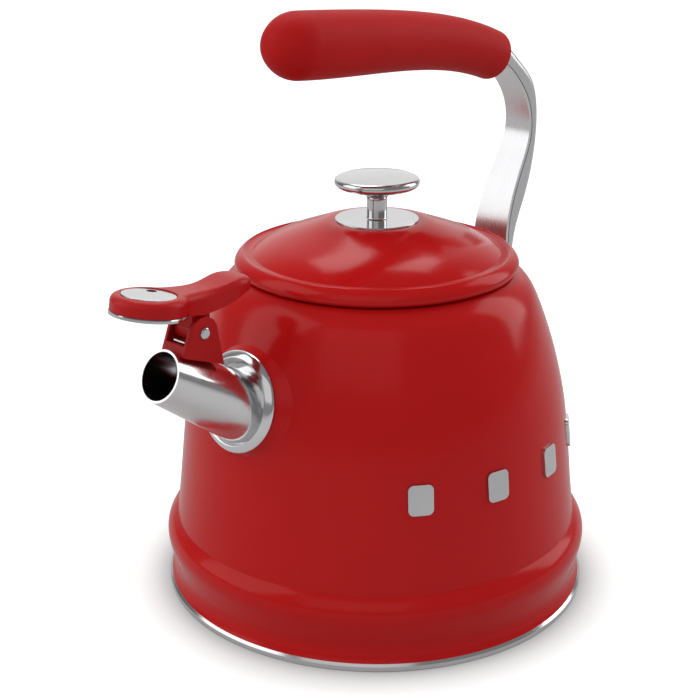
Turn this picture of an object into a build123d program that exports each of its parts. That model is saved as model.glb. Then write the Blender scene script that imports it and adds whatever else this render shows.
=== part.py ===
from build123d import *
from math import cos, radians, sin
import os

os.makedirs("parts", exist_ok=True)

# Stovetop whistling kettle, in millimetres.
# The origin is the centre of the base on the hob. +Z is up, the spout points along -X,
# the handle strap rises at +X, and everything is symmetric about the XZ plane.

# Body wall, as (radius, height) points of the outer surface
WALL = 1.0
FOOT_R, FOOT_Z = 93.1, 3.1
VALLEY_R, VALLEY_Z = 91.4, 10.3
BEAD_R, BEAD_Z = 93.9, 20.7
CREASE_R, CREASE_Z = 89.5, 32.0
SIDE = [(86.6, 56.4), (83.2, 84.6), (78.5, 105.3), (70.8, 127.8), (66.6, 136.2)]
SHOULDER_R, SHOULDER_Z = 59.6, 142.6
MOUTH_R, MOUTH_LIP_Z = 56.5, 136.0

# Base sandwich
RIM_R, RIM_H = 94.0, 2.1
PAN_Z, PAN_T, PAN_EDGE_R = 4.6, 1.0, 91.4
DISC_R, DISC_T = 79.0, 1.0

# Lid
LID_T, LID_GAP, LID_HEM = 1.0, 0.35, 2.6
LID_REST_Z = 143.0
LID_BEAD_R, LID_BEAD_Z = 60.9, 146.7
LID_CREST_R, LID_CREST_Z = 57.4, 150.6
LID_CREASE_R, LID_CREASE_Z = 53.2, 149.9
LID_DOME = [(46.4, 154.2), (37.6, 157.9), (26.6, 161.9)]
LID_FLAT_R, LID_FLAT_Z = 18.8, 163.7
NECK_R, NECK_LOW_Z, NECK_TOP_Z, NECK_FLANGE = 53.6, 138.0, 148.6, 4.0
SEAL_LOW_Z, SEAL_H, SEAL_BASE, SEAL_REACH = 139.2, 3.6, 0.7, 1.6

# Knob
PLATE_R, PLATE_T = 17.9, 0.6
STEM_R, STEM_FOOT_R, STEM_SPLIT_Z, STEM_TOP_Z = 4.3, 5.0, 166.4, 174.8
CAP_R, CAP_EDGE_Z, CAP_FACE_R, CAP_FACE_Z, CAP_TOP_Z = 18.05, 179.9, 16.4, 182.1, 183.4
SCREW_R, SCREW_HEAD_R, SCREW_HEAD_H, SCREW_TIP_Z = 2.0, 3.8, 2.2, 177.0
WASHER_R, WASHER_T = 6.5, 0.8

# Spout: a cone whose axis rises towards the mouth
SPOUT_MOUTH = Vector(-120.3, 0, 125.4)
SPOUT_RISE = 31.3
SPOUT_MOUTH_R, SPOUT_TAPER = 10.45, 0.0903
SPOUT_WALL, SPOUT_LENGTH = 0.9, 49.0
MOUTH_TILT = 27.0

# Collar: a beaded ring square to the wall's slope, on a flat seat pressed into the wall
COLLAR_CENTRE = Vector(-81.6, 0, 103.6)
COLLAR_RISE = 14.2
COLLAR_R, BEAD_IN_R, BEAD_H = 20.95, 15.9, 2.3
SEAT_H, SEAT_R, SEAT_FOOT_R, SEAT_DEPTH = -1.4, 20.2, 27.0, 7.0

# Lever, its pivot and its bracket. OPEN is the turn from closed to open.
PIVOT = Vector(-103.5, 0, 140.2)
OPEN = 72.0
PIN_R, PIN_HEAD_R, RUNNING = 1.9, 2.4, 0.05
EAR_IN, SHEET, EAR_R = 6.3, 1.2, 6.4
EAR_FOOT_FRONT, EAR_FOOT_REAR = (-113.7, 132.5), (-94.3, 125.1)
EAR_REAR_TOP, EAR_FRONT_TOP = (-97.1, 140.4), (-109.9, 142.2)
SADDLE_RISE_FRONT, SADDLE_RISE_REAR = 3.4, 1.7
WEB_TOP_Z = 136.3
BOSS_HALF, BOSS_R = 4.9, 4.6
FOLD_R, FOLD_REACH, WINDOW_HALF, PIN_HEAD_H = 1.6, 25.0, 5.3, 1.0
SPRING_PATH = [(-96.5, 128.2), (-100.0, 130.2), (-103.8, 133.2), (-107.4, 135.2), (-110.3, 136.7)]
SPRING_T, SPRING_HALF = 0.5, 3.2
PADDLE_R, PADDLE_S, PADDLE_LOW, LEVER_FRONT_S, LEVER_REACH = 14.5, -1.5, 0.6, -20.0, 30.0
LEVER_HALF_PLAN = [(9.0, 9.9), (14.0, 8.3), (24.0, 7.4), (34.0, 8.3), (41.0, 7.4)]
LEVER_TIP_S = 46.3
LEVER_TOP = [(-16.0, 6.3), (-1.5, 6.9), (10.0, 7.4), (20.0, 8.0), (27.0, 9.2), (33.0, 11.0),
             (39.0, 12.2), (46.3, 9.6)]
LEVER_UNDER = [(41.0, 6.7), (36.0, 4.6), (30.0, 1.8), (25.0, 0.1), (20.0, -0.9), (13.4, -0.6)]
LEVER_ROUND, LONG_EDGE = 2.8, 20.0
BOSS_FRONT_S, BOSS_REAR_S = 15.6, 24.5
INLAY_R, INLAY_S, INLAY_N, INLAY_T, INLAY_GAP = 10.5, -1.7, 6.2, 0.7, 0.2
POCKET_R, CUP_R, CUP_T, CUP_BASE_N, CUP_LIP_N = 13.2, 14.8, 0.6, 2.0, -0.9
CHAMBER_R, CHAMBER_H, STEAM_S, STEAM_Y, STEAM_R = 9.0, 2.2, 4.7, 4.6, 2.0
WHISTLE_HOLE_R, WHISTLE_T, DISC_CAP_R, DISC_LOW_N = 0.9, 0.4, 7.0, -1.4
DOME_H, DOME_R, DISC_OUTER_R = 1.0, 3.0, 4.4
SEAL_RING_IN, SEAL_RING_OUT, SEAT_CLEAR, FLANGE_GAP = 7.6, 12.4, 0.35, 0.4

# Grip and handle strap, in the plane y = 0
GRIP_SPINE = [(-60.5, 242.2), (-42.0, 241.2), (-22.0, 239.8), (0.0, 238.4),
              (24.0, 236.1), (46.0, 232.7), (60.0, 229.3), (75.5, 224.1)]
GRIP_SECTIONS = [(0.11, 13.4), (0.33, 13.2), (0.55, 12.4), (0.78, 11.6), (1.0, 11.0)]
GRIP_NOSE, GRIP_TAIL = 15.6, 3.0
CORE_R, CORE_FIRST, CORE_LAST = 7.6, 0.13, 0.86
TANG_SPINE = [(-34.0, 240.6), (-22.0, 239.8), (0.0, 238.4), (24.0, 236.1), (46.0, 232.7), (76.0, 226.0)]
TANG_T, TANG_HALF = 4.0, 5.0
STRAP_OUTER = [(70.6, 232.3), (77.9, 230.3), (88.5, 222.1), (98.5, 212.0), (102.7, 196.0),
               (100.4, 176.8), (93.9, 158.8), (87.3, 145.5), (83.6, 131.0), (83.9, 112.0), (86.3, 88.0)]
STRAP_INNER = [(67.4, 223.5), (74.4, 221.1), (82.9, 214.8), (93.1, 201.3), (94.8, 187.1),
               (89.1, 173.9), (82.5, 160.8), (78.3, 147.3), (77.3, 131.0), (77.5, 114.0)]
STRAP_HALF_WIDTHS = [(13.0, 80.0), (12.0, 100.0), (9.5, 141.0), (8.3, 165.0),
                     (7.2, 186.0), (6.3, 212.0), (5.5, 246.0)]
STRAP_HALF_MAX, STRAP_ROUND = 16.0, 3.4
COVER_T, COVER_FIRST, COVER_LAST, COVER_POINTS = 1.6, 0.04, 0.985, 17
GROOVE_H, GROOVE_DEPTH = 0.5, 0.8
FOOT_LOW_Z, FOOT_ROUND = 79.0, 2.4

# Foot of the strap: gasket, backing plate and rivets, square to the wall
GASKET_T, BACKING_T = 1.0, 1.5
PAD_Z, PAD_HALF_Y, PAD_HALF_Z, PAD_ROUND = 96.5, 10.5, 14.5, 4.0
RIVET_TILT, RIVET_ZS, RIVET_R, RIVET_HEAD_R, RIVET_HEAD_H = 12.8, (89.0, 103.0), 2.0, 3.6, 1.3
WALL_AT_RIVET = {89.0: 82.3, 103.0: 79.1}
STRAP_AT_RIVET, HOLE_CLEAR, BEDDING = 4.6, 0.15, 0.02
CORE_SCREWS, CORE_SCREW_R, CORE_SCREW_HEAD_R = [(-18.0, 239.6), (30.0, 235.3)], 1.5, 2.8
CORE_SCREW_DROP, CORE_SCREW_HEAD_H = 6.5, 1.8

# Raised trim pieces on the near side
TRIM_ANGLES = (-34.8, -11.6, 11.6, 34.8)
TRIM_Z, TRIM_HALF_H, TRIM_HALF_W, TRIM_ROUND, TRIM_T = 72.0, 6.3, 5.2, 2.4, 1.0


def along(rise):
    """Unit vector in the XZ plane that points towards the spout side, raised by an angle."""
    return Vector(-cos(radians(rise)), 0, sin(radians(rise)))


def write(part, name):
    part.label = name
    export_step(part, f"parts/{name}.step")


def side_curve(shift):
    """Outer curve of the wall from the foot to the shoulder, moved inwards by shift."""
    skirt = Spline((FOOT_R - shift, FOOT_Z), (VALLEY_R - shift, VALLEY_Z),
                   (BEAD_R - shift, BEAD_Z), (CREASE_R - shift, CREASE_Z))
    points = [(r - shift, z) for r, z in SIDE]
    wall = Spline(skirt @ 1, *points, (SHOULDER_R - shift * 0.6, SHOULDER_Z - shift))
    return skirt, wall


def full_body(shift, top_z):
    """Closed solid inside the wall surface moved inwards by shift."""
    with BuildPart() as solid:
        with BuildSketch(Plane.XZ):
            with BuildLine():
                skirt, wall = side_curve(shift)
                end = wall @ 1
                Polyline(end, (MOUTH_R - shift, top_z), (0, top_z), (0, FOOT_Z), skirt @ 0)
            make_face()
        revolve(axis=Axis.Z)
    return solid.part


def beside(curve, distance, count, first=0, last=1):
    """Points from first to last on a curve in a sketch, moved to its right by a distance."""
    steps = [first + (last - first) * i / (count - 1) for i in range(count)]
    return [curve @ t + (curve % t).rotate(Axis.Z, -90) * distance for t in steps]


# Local frames. In rest_plane x runs from the paddle to the tail and z is up through the
# paddle; lever_side holds the lever's side view as (x along the lever, y up).
spout_plane = Plane(origin=SPOUT_MOUTH, x_dir=(0, 1, 0), z_dir=-along(SPOUT_RISE))
mouth_plane = Plane(origin=SPOUT_MOUTH, x_dir=(0, 1, 0), z_dir=along(MOUTH_TILT))
collar_plane = Plane(origin=COLLAR_CENTRE, x_dir=(0, 1, 0), z_dir=along(COLLAR_RISE))

outwards = Vector(cos(radians(RIVET_TILT)), 0, sin(radians(RIVET_TILT)))
rivet_planes = [Plane(origin=(WALL_AT_RIVET[z], 0, z), x_dir=(0, 1, 0), z_dir=outwards) for z in RIVET_ZS]

seat_point = PIVOT + (SPOUT_MOUTH - PIVOT).rotate(Axis.Y, OPEN)
seat_up = along(MOUTH_TILT).rotate(Axis.Y, OPEN)
rest_plane = Plane(origin=seat_point, x_dir=Vector(0, 1, 0).cross(seat_up), z_dir=seat_up)
lever_side = Plane(origin=seat_point, x_dir=rest_plane.x_dir, z_dir=(0, -1, 0))


def cone(shift, start, length):
    """Solid cone on the spout's axis, its surface moved inwards by shift."""
    with BuildPart() as solid:
        with BuildSketch(spout_plane.offset(start)):
            Circle(SPOUT_MOUTH_R - shift + start * SPOUT_TAPER)
        with BuildSketch(spout_plane.offset(start + length)):
            Circle(SPOUT_MOUTH_R - shift + (start + length) * SPOUT_TAPER)
        loft()
    return solid.part


SPOUT_OVERRUN = 8.0
spout_outer = cone(0, -SPOUT_OVERRUN, SPOUT_LENGTH + SPOUT_OVERRUN)
spout_bore = cone(SPOUT_WALL, -SPOUT_OVERRUN * 1.5, SPOUT_LENGTH + SPOUT_OVERRUN * 3)
outer_solid = full_body(0, LID_REST_Z)
inner_solid = full_body(WALL, LID_REST_Z - WALL)


def seat(drop):
    """Flat seat for the collar, pressed out of the wall and blending back into it."""
    with BuildPart() as solid:
        with BuildSketch(collar_plane.offset(SEAT_H - drop)):
            Circle(SEAT_R)
        with BuildSketch(collar_plane.offset(SEAT_H - drop - SEAT_DEPTH)):
            Circle(SEAT_FOOT_R)
        loft()
    return solid.part


# ---- body shell
with BuildPart() as body_outer:
    add(outer_solid)
    add(seat(0))

with BuildPart() as body_shell:
    add(body_outer.part)
    add(inner_solid, mode=Mode.SUBTRACT)
    add(seat(WALL), mode=Mode.SUBTRACT)
    with BuildSketch(Plane.XY.offset(MOUTH_LIP_Z)):
        Circle(MOUTH_R)
        Circle(MOUTH_R - WALL, mode=Mode.SUBTRACT)
    extrude(amount=LID_REST_Z - WALL - MOUTH_LIP_Z)
    with BuildSketch(Plane.XY.offset(MOUTH_LIP_Z)):
        Circle(MOUTH_R - WALL)
    extrude(amount=LID_REST_Z, mode=Mode.SUBTRACT)
    add(spout_outer, mode=Mode.SUBTRACT)
    for plane in rivet_planes:
        with BuildSketch(plane.offset(-BEAD_H * 5)):
            Circle(RIVET_R)
        extrude(amount=BEAD_H * 10, mode=Mode.SUBTRACT)
write(body_shell.part, "body_shell")

# ---- base: pan with its visible rim, heat disc and the disc that stands on the hob
with BuildPart() as base_pan:
    with BuildSketch(Plane.XZ):
        with BuildLine():
            rim = Polyline((0, PAN_Z), (86.5, PAN_Z), (88.0, 0.6), (88.6, 0), (RIM_R - 0.4, 0),
                           (RIM_R, 0.4), (RIM_R, RIM_H))
            lip = Line(rim @ 1, (FOOT_R, FOOT_Z))
            Polyline(lip @ 1, (PAN_EDGE_R, FOOT_Z), (PAN_EDGE_R - 1.2, PAN_Z + PAN_T),
                     (0, PAN_Z + PAN_T), (0, PAN_Z))
        make_face()
    revolve(axis=Axis.Z)
write(base_pan.part, "base_pan")

with BuildPart() as heat_disc:
    with BuildSketch(Plane.XY.offset(DISC_T)):
        Circle(DISC_R)
    extrude(amount=PAN_Z - DISC_T)
write(heat_disc.part, "heat_disc")

with BuildPart() as base_disc:
    with BuildSketch(Plane.XY):
        Circle(DISC_R + DISC_T)
    extrude(amount=PAN_Z)
    with BuildSketch(Plane.XY.offset(DISC_T)):
        Circle(DISC_R)
    extrude(amount=PAN_Z - DISC_T, mode=Mode.SUBTRACT)
    fillet(base_disc.edges().filter_by(GeomType.CIRCLE).sort_by(Axis.Z)[0], DISC_T * 0.8)
write(base_disc.part, "base_disc")

# ---- lid
def lid_solid(inset):
    """Closed solid under the lid's surface, moved inwards by inset."""
    low_z = LID_REST_Z + LID_GAP
    with BuildPart() as solid:
        with BuildSketch(Plane.XZ):
            with BuildLine():
                bead = Spline((LID_BEAD_R - LID_HEM - inset, low_z), (LID_BEAD_R - inset, LID_BEAD_Z),
                              (LID_CREST_R, LID_CREST_Z - inset), (LID_CREASE_R, LID_CREASE_Z - inset),
                              tangents=[(1, 0.15), (-1, 0.1)])
                dome = Spline(bead @ 1, *[(r, z - inset) for r, z in LID_DOME],
                              (LID_FLAT_R, LID_FLAT_Z - inset), tangents=[(-0.8, 0.6), (-1, 0)])
                Polyline(dome @ 1, (0, LID_FLAT_Z - inset), (0, low_z), bead @ 0)
            make_face()
        revolve(axis=Axis.Z)
    return solid.part


with BuildPart() as lid_shell:
    add(lid_solid(0))
    add(lid_solid(LID_T), mode=Mode.SUBTRACT)
    with BuildSketch(Plane.XY.offset(LID_FLAT_Z - 2 * LID_T)):
        Circle(SCREW_R)
    extrude(amount=3 * LID_T, mode=Mode.SUBTRACT)
write(lid_shell.part, "lid_shell")

with BuildPart() as lid_neck:
    with BuildSketch(Plane.XZ):
        with BuildLine():
            Polyline((NECK_R - LID_T, NECK_LOW_Z), (NECK_R, NECK_LOW_Z), (NECK_R, NECK_TOP_Z),
                     (NECK_R - NECK_FLANGE, NECK_TOP_Z), (NECK_R - NECK_FLANGE, NECK_TOP_Z - LID_T),
                     (NECK_R - LID_T, NECK_TOP_Z - LID_T), close=True)
        make_face()
    revolve(axis=Axis.Z)
write(lid_neck.part, "lid_neck")

with BuildPart() as lid_seal:
    with BuildSketch(Plane.XZ):
        with Locations((NECK_R + SEAL_BASE / 2, SEAL_LOW_Z + SEAL_H / 2)):
            Rectangle(SEAL_BASE, SEAL_H)
        for lip_z in (SEAL_LOW_Z + SEAL_BASE / 2, SEAL_LOW_Z + SEAL_H - SEAL_BASE / 2):
            with Locations((NECK_R + SEAL_REACH / 2, lip_z)):
                Rectangle(SEAL_REACH, SEAL_BASE)
    revolve(axis=Axis.Z)
write(lid_seal.part, "lid_seal")

# ---- knob, held by one screw from inside the lid
plate_top = LID_FLAT_Z + PLATE_T
with BuildPart() as knob_plate:
    with BuildSketch(Plane.XY.offset(LID_FLAT_Z)):
        Circle(PLATE_R)
        Circle(SCREW_R, mode=Mode.SUBTRACT)
    extrude(amount=PLATE_T)
    fillet(knob_plate.edges().group_by(Axis.Z)[-1].sort_by(SortBy.LENGTH)[-1], PLATE_T / 2)
write(knob_plate.part, "knob_plate")

with BuildPart() as knob_stem:
    with BuildSketch(Plane.XZ):
        with BuildLine():
            foot = Line((SCREW_R, plate_top), (STEM_FOOT_R, plate_top))
            flare = Spline(foot @ 1, (STEM_R, plate_top + 0.9), tangents=[(-1, 0.4), (0, 1)])
            Polyline(flare @ 1, (STEM_R, STEM_SPLIT_Z), (SCREW_R, STEM_SPLIT_Z), (SCREW_R, plate_top))
        make_face()
    revolve(axis=Axis.Z)
write(knob_stem.part, "knob_stem")

with BuildPart() as knob_cap:
    with BuildSketch(Plane.XZ):
        with BuildLine():
            stem = Polyline((0, SCREW_TIP_Z), (SCREW_R, SCREW_TIP_Z), (SCREW_R, STEM_SPLIT_Z),
                            (STEM_R, STEM_SPLIT_Z), (STEM_R, STEM_TOP_Z - 2.5))
            under = Spline(stem @ 1, (CAP_R * 0.5, STEM_TOP_Z + 1.2), (CAP_R * 0.86, CAP_EDGE_Z - 2.2),
                           tangents=[(0, 1), (1, 0.3)])
            edge = Spline(under @ 1, (CAP_R, CAP_EDGE_Z), (CAP_FACE_R, CAP_FACE_Z),
                          tangents=[(1, 0.3), (-1, 0.3)])
            crown = Spline(edge @ 1, (0, CAP_TOP_Z), tangents=[(-1, 0.2), (-1, 0)])
            Line(crown @ 1, (0, SCREW_TIP_Z))
        make_face()
    revolve(axis=Axis.Z)
write(knob_cap.part, "knob_cap")

lid_under = LID_FLAT_Z - LID_T
with BuildPart() as knob_washer:
    with BuildSketch(Plane.XY.offset(lid_under)):
        Circle(WASHER_R)
        Circle(SCREW_R, mode=Mode.SUBTRACT)
    extrude(amount=-WASHER_T)
write(knob_washer.part, "knob_washer")

with BuildPart() as knob_screw:
    with BuildSketch(Plane.XY.offset(lid_under - WASHER_T)):
        Circle(SCREW_HEAD_R)
    extrude(amount=-SCREW_HEAD_H)
    fillet(knob_screw.edges().sort_by(Axis.Z)[0], SCREW_HEAD_H * 0.6)
    with BuildSketch(Plane.XY.offset(lid_under - WASHER_T)):
        Circle(SCREW_R)
    extrude(amount=SCREW_TIP_Z - lid_under + WASHER_T)
    with BuildSketch(Plane.XY.offset(lid_under - WASHER_T - SCREW_HEAD_H)):
        Rectangle(2 * SCREW_HEAD_R, 1)
        Rectangle(1, 2 * SCREW_HEAD_R)
    extrude(amount=1, mode=Mode.SUBTRACT)
write(knob_screw.part, "knob_screw")

# ---- spout
with BuildPart() as mouth_cutter:
    with BuildSketch(mouth_plane):
        Circle(SPOUT_MOUTH_R * 4)
    extrude(amount=SPOUT_MOUTH_R * 2)

with BuildPart() as spout_tube:
    add(spout_outer)
    add(spout_bore, mode=Mode.SUBTRACT)
    add(mouth_cutter.part, mode=Mode.SUBTRACT)
write(spout_tube.part, "spout_tube")

with BuildPart() as spout_collar:
    with BuildSketch(Plane(origin=COLLAR_CENTRE, x_dir=(0, 1, 0), z_dir=-collar_plane.y_dir)):
        with BuildLine():
            back = Polyline((0, SEAT_H + 0.7), (0, SEAT_H), (COLLAR_R - 1.0, SEAT_H))
            bead = Spline(back @ 1, (COLLAR_R, 0), (COLLAR_R - 2.4, BEAD_H), (BEAD_IN_R, SEAT_H + 1.0),
                          tangents=[(1, 0.6), (-0.6, -1)])
            Line(bead @ 1, (BEAD_IN_R - 0.6, SEAT_H + 0.7))
            Line((BEAD_IN_R - 0.6, SEAT_H + 0.7), (0, SEAT_H + 0.7))
        make_face()
    revolve(axis=Axis(COLLAR_CENTRE, collar_plane.z_dir))
    add(spout_outer, mode=Mode.SUBTRACT)
write(spout_collar.part, "spout_collar")

# ---- lever bracket: a folded saddle with two ears and a front web, open above the web
ear_outer = EAR_IN + SHEET
front_foot = Vector(EAR_FOOT_FRONT[0], 0, EAR_FOOT_FRONT[1])
front_top = Vector(EAR_FRONT_TOP[0], 0, EAR_FRONT_TOP[1])
saddle_front = front_foot + (front_top - front_foot).normalized() * SADDLE_RISE_FRONT
fold_plane = Plane(origin=front_foot, x_dir=(0, 1, 0), z_dir=front_top - front_foot)

with BuildPart() as ear_profile:
    with BuildSketch(Plane.XZ.offset(-ear_outer)):
        with BuildLine():
            Line(EAR_FOOT_FRONT, EAR_FRONT_TOP)
            ThreePointArc(EAR_FRONT_TOP, (PIVOT.X - 1.5, PIVOT.Z + EAR_R - 0.1), EAR_REAR_TOP)
            Polyline(EAR_REAR_TOP, EAR_FOOT_REAR, EAR_FOOT_FRONT)
        make_face()
    extrude(amount=2 * ear_outer)

with BuildPart() as saddle:
    with BuildSketch(Plane.XZ.offset(-EAR_IN)):
        with BuildLine():
            Polyline(EAR_FOOT_FRONT, (saddle_front.X, saddle_front.Z), (EAR_FOOT_REAR[0],
                     EAR_FOOT_REAR[1] + SADDLE_RISE_REAR), EAR_FOOT_REAR, close=True)
        make_face()
    extrude(amount=2 * EAR_IN)

with BuildPart() as lever_bracket:
    with BuildSketch(fold_plane.offset(-FOLD_REACH)) as folded:
        with Locations((0, -FOLD_REACH)):
            Rectangle(2 * ear_outer, 2 * FOLD_REACH)
        fillet(folded.vertices().group_by(Axis.Y)[-1], FOLD_R)
        with Locations((0, -FOLD_REACH - SHEET)):
            Rectangle(2 * EAR_IN, 2 * FOLD_REACH, mode=Mode.SUBTRACT)
    extrude(amount=2 * FOLD_REACH)
    add(ear_profile.part, mode=Mode.INTERSECT)
    with BuildSketch(Plane.XY.offset(WEB_TOP_Z)):
        with Locations((EAR_FOOT_FRONT[0], 0)):
            Rectangle(4 * EAR_R, 2 * WINDOW_HALF)
    extrude(amount=3 * EAR_R, mode=Mode.SUBTRACT)
    with BuildSketch(Plane.XZ.offset(-2 * ear_outer)):
        with Locations((PIVOT.X, PIVOT.Z)):
            Circle(PIN_R)
    extrude(amount=4 * ear_outer, mode=Mode.SUBTRACT)
    add(saddle.part)
    add(spout_outer, mode=Mode.SUBTRACT)
write(lever_bracket.part, "lever_bracket")

with BuildPart() as pivot_pin:
    with BuildSketch(Plane.XZ.offset(-ear_outer)):
        with Locations((PIVOT.X, PIVOT.Z)):
            Circle(PIN_R)
    extrude(amount=2 * ear_outer)
    for side in (-1, 1):
        with BuildSketch(Plane.XZ.offset(side * ear_outer)):
            with Locations((PIVOT.X, PIVOT.Z)):
                Circle(PIN_HEAD_R)
        extrude(amount=side * PIN_HEAD_H)
    head_rims = pivot_pin.edges().group_by(Axis.Y)[0] + pivot_pin.edges().group_by(Axis.Y)[-1]
    fillet(head_rims, PIN_HEAD_H * 0.8)
write(pivot_pin.part, "pivot_pin")

with BuildPart() as detent_spring:
    with BuildSketch(Plane.XZ.offset(-SPRING_HALF)):
        with BuildLine():
            low = Spline(*SPRING_PATH)
            high = Spline(*beside(low, SPRING_T, len(SPRING_PATH)))
            Line(low @ 0, high @ 0)
            Line(low @ 1, high @ 1)
        make_face()
    extrude(amount=2 * SPRING_HALF)
write(detent_spring.part, "detent_spring")

# ---- lever: side view crossed with plan view, then a boss on the pivot
pivot_s = rest_plane.to_local_coords(PIVOT).X
pivot_n = rest_plane.to_local_coords(PIVOT).Z
with BuildPart() as lever_plan:
    with BuildSketch(rest_plane.offset(-LEVER_REACH)):
        with BuildLine():
            half = Spline(*LEVER_HALF_PLAN, tangents=[(0.8, -0.6), (0.947, -0.32)])
            mirror(about=Plane.XZ)
            ThreePointArc(half @ 1, (LEVER_TIP_S, 0), ((half @ 1).X, -(half @ 1).Y))
            Line(half @ 0, ((half @ 0).X, -(half @ 0).Y))
        make_face()
        with Locations((PADDLE_S, 0)):
            Circle(PADDLE_R)
    extrude(amount=2 * LEVER_REACH)

with BuildPart() as whistle_lever:
    with BuildSketch(lever_side.offset(-LEVER_REACH)):
        with BuildLine():
            top = Spline(*LEVER_TOP, tangents=[(1, 0.05), (0, -1)])
            under = Spline(top @ 1, *LEVER_UNDER, tangents=[(0, -1), (-1, 0)])
            Polyline(under @ 1, (LEVER_FRONT_S, PADDLE_LOW), (LEVER_FRONT_S, LEVER_TOP[0][1]), top @ 0)
        make_face()
    extrude(amount=2 * LEVER_REACH)
    add(lever_plan.part, mode=Mode.INTERSECT)
    long_rims = whistle_lever.edges().filter_by(
        lambda e: e.length > LONG_EDGE and rest_plane.to_local_coords(e.center()).Z > PADDLE_LOW + 1)
    fillet(long_rims, LEVER_ROUND)
    with BuildSketch(lever_side.offset(-BOSS_HALF)):
        with Locations((pivot_s, pivot_n)):
            Circle(BOSS_R)
        with BuildLine():
            Polyline((BOSS_FRONT_S, 1.0), (pivot_s - BOSS_R + 0.3, pivot_n), (pivot_s + BOSS_R, pivot_n),
                     (BOSS_REAR_S, 1.0), close=True)
        make_face()
    extrude(amount=2 * BOSS_HALF)
    with BuildSketch(lever_side.offset(-2 * BOSS_HALF)):
        with Locations((pivot_s, pivot_n)):
            Circle(PIN_R + RUNNING)
    extrude(amount=4 * BOSS_HALF, mode=Mode.SUBTRACT)
    with BuildSketch(rest_plane.offset(INLAY_N)):
        with Locations((INLAY_S, 0)):
            Circle(INLAY_R + INLAY_GAP)
    extrude(amount=LEVER_REACH, mode=Mode.SUBTRACT)
    with BuildSketch(rest_plane.offset(-LEVER_REACH)):
        with Locations((PADDLE_S, 0)):
            Circle(POCKET_R)
    extrude(amount=LEVER_REACH + CUP_BASE_N + CUP_T, mode=Mode.SUBTRACT)
    with BuildSketch(rest_plane.offset(-LEVER_REACH)):
        with Locations((PADDLE_S, 0)):
            Circle(CUP_R + FLANGE_GAP)
    extrude(amount=LEVER_REACH + PADDLE_LOW, mode=Mode.SUBTRACT)
    with BuildSketch(rest_plane.offset(CUP_BASE_N + CUP_T)):
        with Locations((PADDLE_S, 0)):
            Circle(CHAMBER_R)
    extrude(amount=CHAMBER_H, mode=Mode.SUBTRACT)
    with BuildSketch(rest_plane.offset(CUP_BASE_N + CUP_T)):
        with Locations((PADDLE_S + STEAM_S, STEAM_Y)):
            Circle(STEAM_R + INLAY_GAP)
    extrude(amount=LEVER_REACH, mode=Mode.SUBTRACT)
write(whistle_lever.part, "whistle_lever")

with BuildPart() as lever_plate:
    with BuildSketch(rest_plane.offset(INLAY_N)):
        with Locations((INLAY_S, 0)):
            Circle(INLAY_R)
        with Locations((PADDLE_S + STEAM_S, STEAM_Y)):
            Circle(STEAM_R, mode=Mode.SUBTRACT)
    extrude(amount=INLAY_T)
    fillet(lever_plate.edges().sort_by(SortBy.LENGTH)[-1], INLAY_T * 0.4)
write(lever_plate.part, "lever_plate")

# ---- whistle under the paddle: cup with a turned lip, two drilled discs and a seal
whistle_axis = Axis(rest_plane.from_local_coords((PADDLE_S, 0, 0)), rest_plane.z_dir)
whistle_side = Plane(origin=whistle_axis.position, x_dir=rest_plane.x_dir, z_dir=(0, -1, 0))

with BuildPart() as whistle_cup:
    with BuildSketch(whistle_side):
        with BuildLine():
            Polyline((WHISTLE_HOLE_R, CUP_BASE_N), (POCKET_R - CUP_T, CUP_BASE_N),
                     (POCKET_R - CUP_T, -0.3), (CUP_R - CUP_T, -0.3), (CUP_R - CUP_T, CUP_LIP_N),
                     (CUP_R, CUP_LIP_N), (CUP_R, 0.1), (CUP_R - 0.3, 0.4), (POCKET_R, 0.4),
                     (POCKET_R, CUP_BASE_N + CUP_T), (WHISTLE_HOLE_R, CUP_BASE_N + CUP_T), close=True)
        make_face()
    revolve(axis=whistle_axis)
write(whistle_cup.part, "whistle_cup")

with BuildPart() as whistle_disc_inner:
    with BuildSketch(whistle_side):
        with BuildLine():
            Polyline((WHISTLE_HOLE_R, DISC_LOW_N), (DISC_CAP_R, DISC_LOW_N), (DISC_CAP_R, CUP_BASE_N),
                     (DISC_CAP_R - WHISTLE_T, CUP_BASE_N), (DISC_CAP_R - WHISTLE_T, DISC_LOW_N + WHISTLE_T),
                     (WHISTLE_HOLE_R, DISC_LOW_N + WHISTLE_T), close=True)
        make_face()
    revolve(axis=whistle_axis)
write(whistle_disc_inner.part, "whistle_disc_inner")

cup_top = CUP_BASE_N + CUP_T
with BuildPart() as whistle_disc_outer:
    with BuildSketch(whistle_side):
        with BuildLine():
            Polyline((WHISTLE_HOLE_R, cup_top + DOME_H), (DOME_R, cup_top + DOME_H),
                     (DOME_R + WHISTLE_T, cup_top), (DISC_OUTER_R, cup_top),
                     (DISC_OUTER_R, cup_top + WHISTLE_T), (DOME_R + 2 * WHISTLE_T, cup_top + WHISTLE_T),
                     (DOME_R + WHISTLE_T, cup_top + DOME_H + WHISTLE_T),
                     (WHISTLE_HOLE_R, cup_top + DOME_H + WHISTLE_T), close=True)
        make_face()
    revolve(axis=whistle_axis)
write(whistle_disc_outer.part, "whistle_disc_outer")

with BuildPart() as whistle_seal:
    with BuildSketch(whistle_side):
        with Locations(((SEAL_RING_IN + SEAL_RING_OUT) / 2, (SEAT_CLEAR + CUP_BASE_N) / 2)):
            Rectangle(SEAL_RING_OUT - SEAL_RING_IN, CUP_BASE_N - SEAT_CLEAR)
    revolve(axis=whistle_axis)
    fillet(whistle_seal.edges().filter_by(
        lambda e: rest_plane.to_local_coords(e.center()).Z < SEAT_CLEAR + 0.1), 0.3)
write(whistle_seal.part, "whistle_seal")

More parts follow.
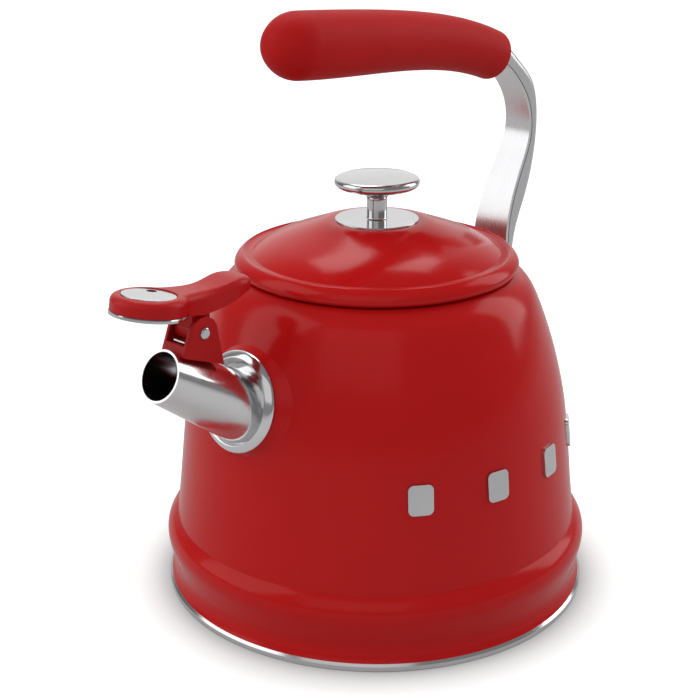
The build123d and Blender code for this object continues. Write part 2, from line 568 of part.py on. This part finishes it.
# ---- handle strap: side view crossed with a front view, its foot bedded on the wall
def strap_width(inset):
    """Prism along X of the strap's front view, narrowed on both sides by inset."""
    with BuildPart() as solid:
        with BuildSketch(Plane.YZ.offset(-2 * BEAD_R)):
            with BuildLine():
                near = Spline(*[(y - inset, z) for y, z in STRAP_HALF_WIDTHS])
                mirror(about=Plane.YZ)
                Line(near @ 0, (-(near @ 0).X, (near @ 0).Y))
                Line(near @ 1, (-(near @ 1).X, (near @ 1).Y))
            make_face()
        extrude(amount=4 * BEAD_R)
    return solid.part


def cover_band(near_side, far_side):
    """Prism along Y between two offsets of the strap's inner curve, over the cover's length."""
    with BuildPart() as solid:
        with BuildSketch(Plane.XZ.offset(-STRAP_HALF_MAX)):
            with BuildLine():
                first = Spline(*beside(strap_inner, near_side, COVER_POINTS, COVER_FIRST, COVER_LAST))
                second = Spline(*beside(strap_inner, far_side, COVER_POINTS, COVER_FIRST, COVER_LAST))
                Line(first @ 0, second @ 0)
                Line(first @ 1, second @ 1)
            make_face()
        extrude(amount=2 * STRAP_HALF_MAX)
    return solid.part


with BuildLine() as strap_inner_line:
    strap_inner = Spline(*STRAP_INNER)

with BuildPart() as whole_strap:
    with BuildSketch(Plane.XZ.offset(-STRAP_HALF_MAX)):
        with BuildLine():
            outer = Spline(*STRAP_OUTER)
            inner = Spline(*STRAP_INNER)
            Line(outer @ 0, inner @ 0)
            corner = (STRAP_OUTER[-1][0] - FOOT_ROUND, FOOT_LOW_Z)
            foot = ThreePointArc(outer @ 1, (STRAP_OUTER[-1][0] - 0.6, FOOT_LOW_Z + FOOT_ROUND), corner)
            Polyline(foot @ 1, (BEAD_R / 2, FOOT_LOW_Z), (BEAD_R / 2, STRAP_INNER[-1][1]), inner @ 1)
        make_face()
    extrude(amount=2 * STRAP_HALF_MAX)
    add(strap_width(0), mode=Mode.INTERSECT)
    add(full_body(-GASKET_T, LID_REST_Z), mode=Mode.SUBTRACT)
    long_edges = whole_strap.edges().filter_by(lambda e: e.length > 100 and abs(e.center().Y) > 5)
    fillet(long_edges.sort_by(SortBy.LENGTH)[-2:], STRAP_ROUND)

with BuildPart() as rivets:
    for plane in rivet_planes:
        with BuildSketch(Plane(origin=plane.origin, x_dir=plane.y_dir, z_dir=plane.x_dir)):
            with BuildLine():
                low, high = -WALL - BACKING_T, STRAP_AT_RIVET
                shank = Polyline((0, low - RIVET_HEAD_H), (RIVET_HEAD_R * 0.6, low - RIVET_HEAD_H),
                                 (RIVET_HEAD_R, low), (RIVET_R, low), (RIVET_R, high), (RIVET_HEAD_R, high))
                Spline(shank @ 1, (0, high + RIVET_HEAD_H), tangents=[(-0.4, 1), (-1, 0)])
                Line((0, high + RIVET_HEAD_H), (0, low - RIVET_HEAD_H))
            make_face()
        revolve(axis=Axis(plane.origin, plane.z_dir))
write(rivets.part, "bracket_rivets")

with BuildPart() as handle_bracket:
    add(whole_strap.part)
    add(cover_band(3 * COVER_T, -COVER_T), mode=Mode.SUBTRACT)
    add(cover_band(0, -COVER_T - GROOVE_H) - strap_width(GROOVE_DEPTH), mode=Mode.SUBTRACT)
    with BuildSketch(Plane.XZ.offset(-TANG_HALF)):
        with BuildLine():
            upper = Spline(*[(x, z + TANG_T / 2) for x, z in TANG_SPINE])
            lower = Spline(*[(x, z - TANG_T / 2) for x, z in TANG_SPINE])
            Line(upper @ 0, lower @ 0)
            Line(upper @ 1, lower @ 1)
        make_face()
    extrude(amount=2 * TANG_HALF)
    for x, z in CORE_SCREWS:
        with BuildSketch(Plane.XY.offset(z - 2 * TANG_T)):
            with Locations((x, 0)):
                Circle(CORE_SCREW_R)
        extrude(amount=4 * TANG_T, mode=Mode.SUBTRACT)
    for rivet in rivets.part.solids():
        add(rivet, mode=Mode.SUBTRACT)
write(handle_bracket.part, "handle_bracket")

with BuildPart() as bracket_cover:
    add(whole_strap.part)
    add(cover_band(3 * COVER_T, -COVER_T), mode=Mode.INTERSECT)
write(bracket_cover.part, "bracket_cover")

def pad(low_solid, high_solid, name):
    """Rounded pad between two nested body solids, drilled for the rivets."""
    with BuildPart() as part:
        with BuildSketch(Plane.YZ.offset(BEAD_R / 2)):
            with Locations((0, PAD_Z)):
                RectangleRounded(2 * PAD_HALF_Y, 2 * PAD_HALF_Z, PAD_ROUND)
        extrude(amount=BEAD_R)
        add(high_solid, mode=Mode.INTERSECT)
        add(low_solid, mode=Mode.SUBTRACT)
        for plane in rivet_planes:
            with BuildSketch(plane.offset(-BEAD_H * 5)):
                Circle(RIVET_R + HOLE_CLEAR)
            extrude(amount=BEAD_H * 10, mode=Mode.SUBTRACT)
        for rivet in rivets.part.solids():
            add(rivet, mode=Mode.SUBTRACT)
    write(part.part, name)


pad(full_body(-BEDDING, LID_REST_Z), full_body(-GASKET_T, LID_REST_Z), "bracket_gasket")
pad(full_body(WALL + BACKING_T, MOUTH_LIP_Z), full_body(WALL + BEDDING, MOUTH_LIP_Z), "bracket_plate")

# ---- grip: soft skin over a stiff core that is screwed to the tang
with BuildLine(Plane.XZ) as spine_line:
    spine = Spline(*GRIP_SPINE)

with BuildPart() as grip_core:
    for t in (CORE_FIRST, 0.3, 0.5, 0.7, CORE_LAST):
        with BuildSketch(Plane(origin=spine @ t, x_dir=(0, 1, 0), z_dir=spine % t)):
            Circle(CORE_R)
    loft()

grip_planes = [Plane(origin=spine @ t, x_dir=(0, 1, 0), z_dir=spine % t) for t, _ in GRIP_SECTIONS]
nose_plane = Plane(origin=grip_planes[0].origin, x_dir=grip_planes[0].y_dir, z_dir=-grip_planes[0].x_dir)
with BuildPart() as grip:
    for plane, (_, radius) in zip(grip_planes, GRIP_SECTIONS):
        with BuildSketch(plane):
            Circle(radius)
    loft()
    fillet(grip.edges().sort_by(Axis.X)[-1], GRIP_TAIL)
    with BuildSketch(nose_plane):
        with BuildLine():
            front_r = GRIP_SECTIONS[0][1]
            nose = Spline((front_r, 0), (front_r * 0.72, GRIP_NOSE * 0.69), (0, GRIP_NOSE),
                          tangents=[(0, 1), (-1, 0)])
            Polyline(nose @ 1, (0, 0), (front_r, 0))
        make_face()
    revolve(axis=Axis(grip_planes[0].origin, grip_planes[0].z_dir))
    add(grip_core.part, mode=Mode.SUBTRACT)
    add(whole_strap.part, mode=Mode.SUBTRACT)
    add(handle_bracket.part, mode=Mode.SUBTRACT)
write(grip.part, "grip")

with BuildPart() as core_screws:
    for x, z in CORE_SCREWS:
        with BuildSketch(Plane.XY.offset(z - CORE_SCREW_DROP)):
            with Locations((x, 0)):
                Circle(CORE_SCREW_HEAD_R)
        extrude(amount=CORE_SCREW_HEAD_H)
        with BuildSketch(Plane.XY.offset(z - CORE_SCREW_DROP)):
            with Locations((x, 0)):
                Circle(CORE_SCREW_R)
        extrude(amount=CORE_SCREW_DROP)
write(core_screws.part, "core_screws")

with BuildPart() as drilled_core:
    add(grip_core.part)
    add(handle_bracket.part, mode=Mode.SUBTRACT)
    add(whole_strap.part, mode=Mode.SUBTRACT)
    for x, z in CORE_SCREWS:
        with BuildSketch(Plane.XY.offset(z - 2 * CORE_R)):
            with Locations((x, 0)):
                Circle(CORE_SCREW_HEAD_R)
        extrude(amount=2 * CORE_R - CORE_SCREW_DROP + CORE_SCREW_HEAD_H, mode=Mode.SUBTRACT)
        with BuildSketch(Plane.XY.offset(z - CORE_SCREW_DROP)):
            with Locations((x, 0)):
                Circle(CORE_SCREW_R)
        extrude(amount=CORE_SCREW_DROP, mode=Mode.SUBTRACT)
write(drilled_core.part, "grip_core")

# ---- raised trim on the near side
with BuildPart() as side_trim:
    for angle in TRIM_ANGLES:
        facing = Vector(sin(radians(angle)), -cos(radians(angle)), 0)
        centre = facing * (BEAD_R / 2) + Vector(0, 0, TRIM_Z)
        with BuildSketch(Plane(origin=centre, x_dir=Vector(0, 0, 1).cross(facing), z_dir=facing)):
            RectangleRounded(2 * TRIM_HALF_W, 2 * TRIM_HALF_H, TRIM_ROUND)
        extrude(amount=BEAD_R)
    add(full_body(-TRIM_T, LID_REST_Z), mode=Mode.INTERSECT)
    add(outer_solid, mode=Mode.SUBTRACT)
write(side_trim.part, "side_trim")
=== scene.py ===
import math

import bpy
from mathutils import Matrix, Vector

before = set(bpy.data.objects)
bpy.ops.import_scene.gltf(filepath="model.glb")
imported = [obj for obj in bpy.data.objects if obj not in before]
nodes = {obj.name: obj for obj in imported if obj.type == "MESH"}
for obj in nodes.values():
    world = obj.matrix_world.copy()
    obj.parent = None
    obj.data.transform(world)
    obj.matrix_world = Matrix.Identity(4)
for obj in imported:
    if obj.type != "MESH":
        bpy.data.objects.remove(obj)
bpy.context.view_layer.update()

# ---- camera: in front of the spout side, looking down at the kettle
HEADING, PITCH = math.radians(44.09), math.radians(20.2)
CAMERA_AT = Vector((-0.440, -0.4103, 0.3255))
LENS, SENSOR = 74.9, 36
forward = Vector((math.cos(PITCH) * math.cos(HEADING), math.cos(PITCH) * math.sin(HEADING), -math.sin(PITCH)))
level = Vector((math.cos(HEADING), math.sin(HEADING), 0))
left = Vector((-level.y, level.x, 0))

camera = bpy.data.objects.new("camera", bpy.data.cameras.new("camera"))
bpy.context.scene.collection.objects.link(camera)
camera.location = CAMERA_AT
camera.rotation_mode = "QUATERNION"
camera.rotation_quaternion = forward.to_track_quat("-Z", "Y")
camera.data.lens, camera.data.sensor_width = LENS, SENSOR
camera.data.clip_start, camera.data.clip_end = 0.01, 50
bpy.context.scene.camera = camera
bpy.context.scene.view_settings.view_transform = "Standard"


# ---- materials
def new_material(name):
    material = bpy.data.materials.new(name)
    material.use_nodes = True
    tree = material.node_tree
    return material, tree, tree.nodes["Principled BSDF"]


def node(tree, kind, **inputs):
    made = tree.nodes.new(kind)
    for key, value in inputs.items():
        made.inputs[key.replace("_", " ")].default_value = value
    return made


def coordinates(tree, lines):
    """Object coordinates, or coordinates that make a noise run in lines: lines is None, "turned" for
    circles round Z, or a vector whose components say how fast the noise changes along each axis."""
    source = tree.nodes.new("ShaderNodeTexCoord").outputs["Object"]
    if lines is None:
        return source
    if lines == "turned":
        split = node(tree, "ShaderNodeSeparateXYZ")
        tree.links.new(source, split.inputs[0])
        flat = node(tree, "ShaderNodeCombineXYZ")
        tree.links.new(split.outputs["X"], flat.inputs["X"])
        tree.links.new(split.outputs["Y"], flat.inputs["Y"])
        radius = node(tree, "ShaderNodeVectorMath")
        radius.operation = "LENGTH"
        tree.links.new(flat.outputs[0], radius.inputs[0])
        joined = node(tree, "ShaderNodeCombineXYZ")
        tree.links.new(radius.outputs["Value"], joined.inputs["X"])
        tree.links.new(split.outputs["Z"], joined.inputs["Z"])
        return joined.outputs[0]
    mapping = tree.nodes.new("ShaderNodeMapping")
    mapping.inputs["Scale"].default_value = lines
    tree.links.new(source, mapping.inputs["Vector"])
    return mapping.outputs[0]


NOISE_LOW, NOISE_HIGH = 0.3, 0.7
ROUGH_SCALE = 0.4


def vary(tree, vector, scale, detail, low, high):
    """A noise whose middle range is spread from low to high."""
    noise = node(tree, "ShaderNodeTexNoise", Scale=scale, Detail=detail, Roughness=0.6)
    tree.links.new(vector, noise.inputs["Vector"])
    spread = node(tree, "ShaderNodeMapRange", From_Min=NOISE_LOW, From_Max=NOISE_HIGH, To_Min=low, To_Max=high)
    tree.links.new(noise.outputs["Fac"], spread.inputs["Value"])
    return spread.outputs["Result"]


def finish_of(name, dark, light, rough, metallic=0.0, specular=0.5, lines=None, tone=40, grain=900,
              grain_height=0.00001, grain_strength=0.2):
    """A material whose colour, roughness and fine surface all vary: dark and light are its two tones,
    rough its lowest and highest roughness, tone and grain the scales of the two noises. The grain follows
    lines, as coordinates describes them."""
    material, tree, shader = new_material(name)
    plain = coordinates(tree, None)
    grained = coordinates(tree, lines)
    mix_by = vary(tree, plain, tone, 4, 0, 1)
    colour = tree.nodes.new("ShaderNodeMix")
    colour.data_type = "RGBA"
    colour.inputs[6].default_value = (*dark, 1)
    colour.inputs[7].default_value = (*light, 1)
    tree.links.new(mix_by, colour.inputs[0])
    tree.links.new(colour.outputs[2], shader.inputs["Base Color"])
    roughness = vary(tree, grained, grain * ROUGH_SCALE, 3, *rough)
    tree.links.new(roughness, shader.inputs["Roughness"])
    fine = node(tree, "ShaderNodeTexNoise", Scale=grain, Detail=3)
    tree.links.new(grained, fine.inputs["Vector"])
    bump = node(tree, "ShaderNodeBump", Strength=grain_strength, Distance=grain_height)
    tree.links.new(fine.outputs["Fac"], bump.inputs["Height"])
    tree.links.new(bump.outputs["Normal"], shader.inputs["Normal"])
    shader.inputs["Metallic"].default_value = metallic
    shader.inputs["Specular IOR Level"].default_value = specular
    return material


RED_DARK, RED_LIGHT = (0.47, 0.0065, 0.0070), (0.50, 0.0075, 0.0080)
enamel = finish_of("enamel", RED_DARK, RED_LIGHT, (0.15, 0.20), specular=0.17, tone=14, grain=160,
                   grain_height=0.00002, grain_strength=0.05)
lid_enamel = finish_of("lid_enamel", RED_DARK, RED_LIGHT, (0.14, 0.19), specular=0.17, tone=18, grain=160,
                       grain_height=0.00002, grain_strength=0.05)
lever_red = finish_of("lever_red", (0.42, 0.007, 0.008), (0.46, 0.008, 0.009), (0.30, 0.36), specular=0.16,
                      tone=60, grain=1400, grain_strength=0.12)
bracket_red = finish_of("bracket_red", (0.40, 0.007, 0.008), (0.44, 0.008, 0.009), (0.32, 0.40),
                        specular=0.16, tone=60, grain=1400, grain_strength=0.12)
grip_red = finish_of("grip_red", (0.42, 0.006, 0.0065), (0.46, 0.007, 0.0075), (0.50, 0.60), specular=0.10,
                     tone=50, grain=2600, grain_height=0.00003, grain_strength=0.25)
STEEL_DARK, STEEL_LIGHT = (0.60, 0.60, 0.61), (0.68, 0.68, 0.69)
ALONG_STRAP, ALONG_X = (0.02, 1, 0.02), (1, 0.04, 1)
polished = finish_of("polished", STEEL_DARK, STEEL_LIGHT, (0.10, 0.16), metallic=1, lines="turned", tone=30,
                     grain=1500, grain_strength=0.04)
rim_steel = finish_of("rim_steel", (0.66, 0.66, 0.67), (0.74, 0.74, 0.75), (0.12, 0.2), metallic=1,
                      lines="turned", tone=30, grain=1500, grain_strength=0.05)
spout_steel = finish_of("spout_steel", (0.76, 0.76, 0.77), (0.82, 0.82, 0.83), (0.12, 0.17), metallic=1,
                        tone=30, grain=700, grain_strength=0.03)
strap_steel = finish_of("strap_steel", (0.56, 0.56, 0.57), (0.60, 0.60, 0.61), (0.28, 0.31), metallic=1,
                        lines=ALONG_STRAP, tone=30, grain=1600, grain_strength=0.02)
cover_steel = finish_of("cover_steel", (0.66, 0.66, 0.67), (0.70, 0.70, 0.71), (0.26, 0.29), metallic=1,
                        lines=ALONG_STRAP, tone=30, grain=1600, grain_strength=0.02)
plate_steel = finish_of("plate_steel", (0.62, 0.62, 0.63), (0.70, 0.70, 0.71), (0.18, 0.26), metallic=1,
                        lines=ALONG_X, tone=60, grain=2200, grain_strength=0.1)
plain_steel = finish_of("plain_steel", (0.52, 0.52, 0.53), (0.60, 0.60, 0.61), (0.26, 0.38), metallic=1,
                        tone=60, grain=1200, grain_strength=0.1)
aluminium = finish_of("aluminium", (0.66, 0.66, 0.67), (0.74, 0.74, 0.75), (0.34, 0.46), metallic=1,
                      lines="turned", tone=40, grain=1200, grain_strength=0.2)
silicone = finish_of("silicone", (0.028, 0.028, 0.030), (0.04, 0.04, 0.043), (0.5, 0.62), specular=0.4,
                     tone=80, grain=1800, grain_strength=0.2)
nylon = finish_of("nylon", (0.02, 0.02, 0.021), (0.03, 0.03, 0.032), (0.4, 0.5), specular=0.4, tone=60,
                  grain=1500, grain_strength=0.2)

FINISHES = {
    "body_shell": enamel, "lid_shell": lid_enamel, "whistle_lever": lever_red, "lever_bracket": bracket_red,
    "grip": grip_red, "base_pan": rim_steel, "base_disc": plain_steel, "heat_disc": aluminium,
    "lid_neck": plain_steel, "lid_seal": silicone, "knob_plate": polished, "knob_stem": polished,
    "knob_cap": polished, "knob_washer": plain_steel, "knob_screw": plain_steel, "spout_tube": spout_steel,
    "spout_collar": spout_steel, "pivot_pin": polished, "detent_spring": plain_steel,
    "lever_plate": plate_steel, "whistle_cup": polished, "whistle_disc_inner": plain_steel,
    "whistle_disc_outer": plain_steel, "whistle_seal": silicone, "handle_bracket": strap_steel,
    "bracket_cover": cover_steel, "bracket_gasket": silicone, "bracket_plate": plain_steel,
    "bracket_rivets": plain_steel, "grip_core": nylon, "core_screws": plain_steel, "side_trim": polished,
}
for name, material in FINISHES.items():
    nodes[name].data.materials.clear()
    nodes[name].data.materials.append(material)

# ---- floor and light
FLOOR_HALF, FLOOR_GREY = 8.0, 0.32
# the floor glows white towards the camera and less for other rays; near the kettle's foot ambient occlusion
# cuts the glow, a painted contact shadow
FLOOR_GLOW_SEEN, FLOOR_GLOW_ELSEWHERE = 0.92, 0.22
SHADOW_REACH, SHADOW_FULL, SHADOW_GONE = 0.050, 0.40, 0.88
floor_mesh = bpy.data.meshes.new("floor")
floor_mesh.from_pydata([(-FLOOR_HALF, -FLOOR_HALF, 0), (FLOOR_HALF, -FLOOR_HALF, 0),
                        (FLOOR_HALF, FLOOR_HALF, 0), (-FLOOR_HALF, FLOOR_HALF, 0)], [], [(0, 1, 2, 3)])
floor = bpy.data.objects.new("floor", floor_mesh)
bpy.context.scene.collection.objects.link(floor)
floor_look, floor_tree, floor_shader = new_material("floor")
floor_shader.inputs["Base Color"].default_value = (FLOOR_GREY, FLOOR_GREY, FLOOR_GREY, 1)
floor_shader.inputs["Roughness"].default_value = 0.9
floor_shader.inputs["Specular IOR Level"].default_value = 0.1
# painted contact shadow: ambient occlusion darkens the floor's glow close to the kettle's foot
painted_shadow_occlusion = node(floor_tree, "ShaderNodeAmbientOcclusion", Distance=SHADOW_REACH)
glow = node(floor_tree, "ShaderNodeMapRange", From_Min=SHADOW_FULL, From_Max=SHADOW_GONE, To_Min=0,
            To_Max=FLOOR_GLOW_SEEN)
floor_tree.links.new(painted_shadow_occlusion.outputs["AO"], glow.inputs["Value"])
floor_seen_by = floor_tree.nodes.new("ShaderNodeLightPath")
glow_mix = floor_tree.nodes.new("ShaderNodeMix")
floor_tree.links.new(floor_seen_by.outputs["Is Camera Ray"], glow_mix.inputs[0])
glow_mix.inputs[2].default_value = FLOOR_GLOW_ELSEWHERE
floor_tree.links.new(glow.outputs["Result"], glow_mix.inputs[3])
floor_tree.links.new(glow_mix.outputs[0], floor_shader.inputs["Emission Strength"])
floor_shader.inputs["Emission Color"].default_value = (1, 1, 1, 1)
floor_mesh.materials.append(floor_look)

# the world lights the kettle evenly, but its reflection is a dim grey room with a pale backdrop
ROOM_LIGHT, ROOM_WHITE = 0.62, 1.02
ROOM_BANDS = [(0.0, 0.22), (0.62, 0.16), (0.80, 0.45), (0.93, 0.95)]
BACKDROP_RISE = math.radians(24)
backdrop_way = level * math.cos(BACKDROP_RISE) + Vector((0, 0, math.sin(BACKDROP_RISE)))
world = bpy.data.worlds.new("studio")
bpy.context.scene.world = world
world.use_nodes = True
sky = world.node_tree
background = sky.nodes["Background"]
seen_by = sky.nodes.new("ShaderNodeLightPath")
towards = sky.nodes.new("ShaderNodeVectorMath")
towards.operation = "DOT_PRODUCT"
sky.links.new(sky.nodes.new("ShaderNodeTexCoord").outputs["Generated"], towards.inputs[0])
towards.inputs[1].default_value = backdrop_way
bands = sky.nodes.new("ShaderNodeValToRGB")
while len(bands.color_ramp.elements) < len(ROOM_BANDS):
    bands.color_ramp.elements.new(1.0)
for element, (place, grey) in zip(bands.color_ramp.elements, ROOM_BANDS):
    element.position, element.color = place, (grey, grey, grey, 1)
sky.links.new(towards.outputs["Value"], bands.inputs["Fac"])


def sky_mix(ray, grey):
    """A colour mix steered by one kind of ray, with a grey on both of its inputs."""
    mix = sky.nodes.new("ShaderNodeMix")
    mix.data_type = "RGBA"
    sky.links.new(seen_by.outputs[ray], mix.inputs[0])
    for side in (6, 7):
        mix.inputs[side].default_value = (grey, grey, grey, 1)
    return mix


by_gloss = sky_mix("Is Glossy Ray", ROOM_LIGHT)
sky.links.new(bands.outputs["Color"], by_gloss.inputs[7])
by_camera = sky_mix("Is Camera Ray", ROOM_WHITE)
sky.links.new(by_gloss.outputs[2], by_camera.inputs[6])
sky.links.new(by_camera.outputs[2], background.inputs["Color"])

LIT_POINT = Vector((0, 0, 0.10))


def softbox(name, side, rise, distance, width, height, power):
    """Area light that faces the kettle. side is the angle from the kettle's camera side, positive to the
    camera's left, rise is the angle above the floor, and power is in watts."""
    turn = math.radians(side)
    way = -level * math.cos(turn) + left * math.sin(turn)
    way = way * math.cos(math.radians(rise)) + Vector((0, 0, math.sin(math.radians(rise))))
    lamp = bpy.data.lights.new(name, "AREA")
    lamp.shape, lamp.size, lamp.size_y, lamp.energy = "RECTANGLE", width, height, power
    made = bpy.data.objects.new(name, lamp)
    made.location = LIT_POINT + way * distance
    made.rotation_mode = "QUATERNION"
    made.rotation_quaternion = (-way).to_track_quat("-Z", "Y")
    bpy.context.scene.collection.objects.link(made)


softbox("key_left", 82, 30, 1.3, 1.0, 1.2, 5.0)
softbox("right", -112, 26, 1.3, 0.6, 1.0, 4.5)
softbox("overhead", 180, 62, 1.4, 1.0, 0.45, 5.5)
softbox("front", 12, 34, 1.5, 1.4, 1.0, 2.0)
